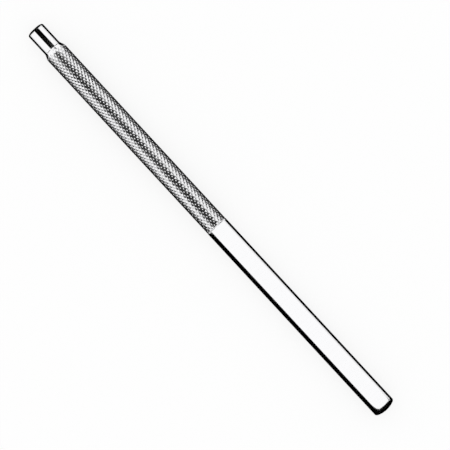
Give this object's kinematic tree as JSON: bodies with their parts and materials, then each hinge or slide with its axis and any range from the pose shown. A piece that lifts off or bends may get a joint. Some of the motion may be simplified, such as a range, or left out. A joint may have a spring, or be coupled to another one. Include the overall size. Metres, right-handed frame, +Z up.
{
  "type": "mouth mirror handle",
  "caption": "Straight round steel handle for a screw-in mouth mirror, with a diamond-knurled grip, a thinner neck with a threaded end socket, and a plain shank with a domed end.",
  "frame": {"origin": "on the plane that the handle lies on, below the middle of its length", "axes": "+X along the handle's axis and out of its mirror socket, +Z up from the plane that it lies on"},
  "size_m": [0.13, 0.006, 0.006],
  "materials": {
    "stainless_steel": "bright polished turned steel, with a cut diamond knurl on the grip"
  },
  "bodies": {
    "root": {"handle": "stainless_steel"}
  },
  "joints": []
}
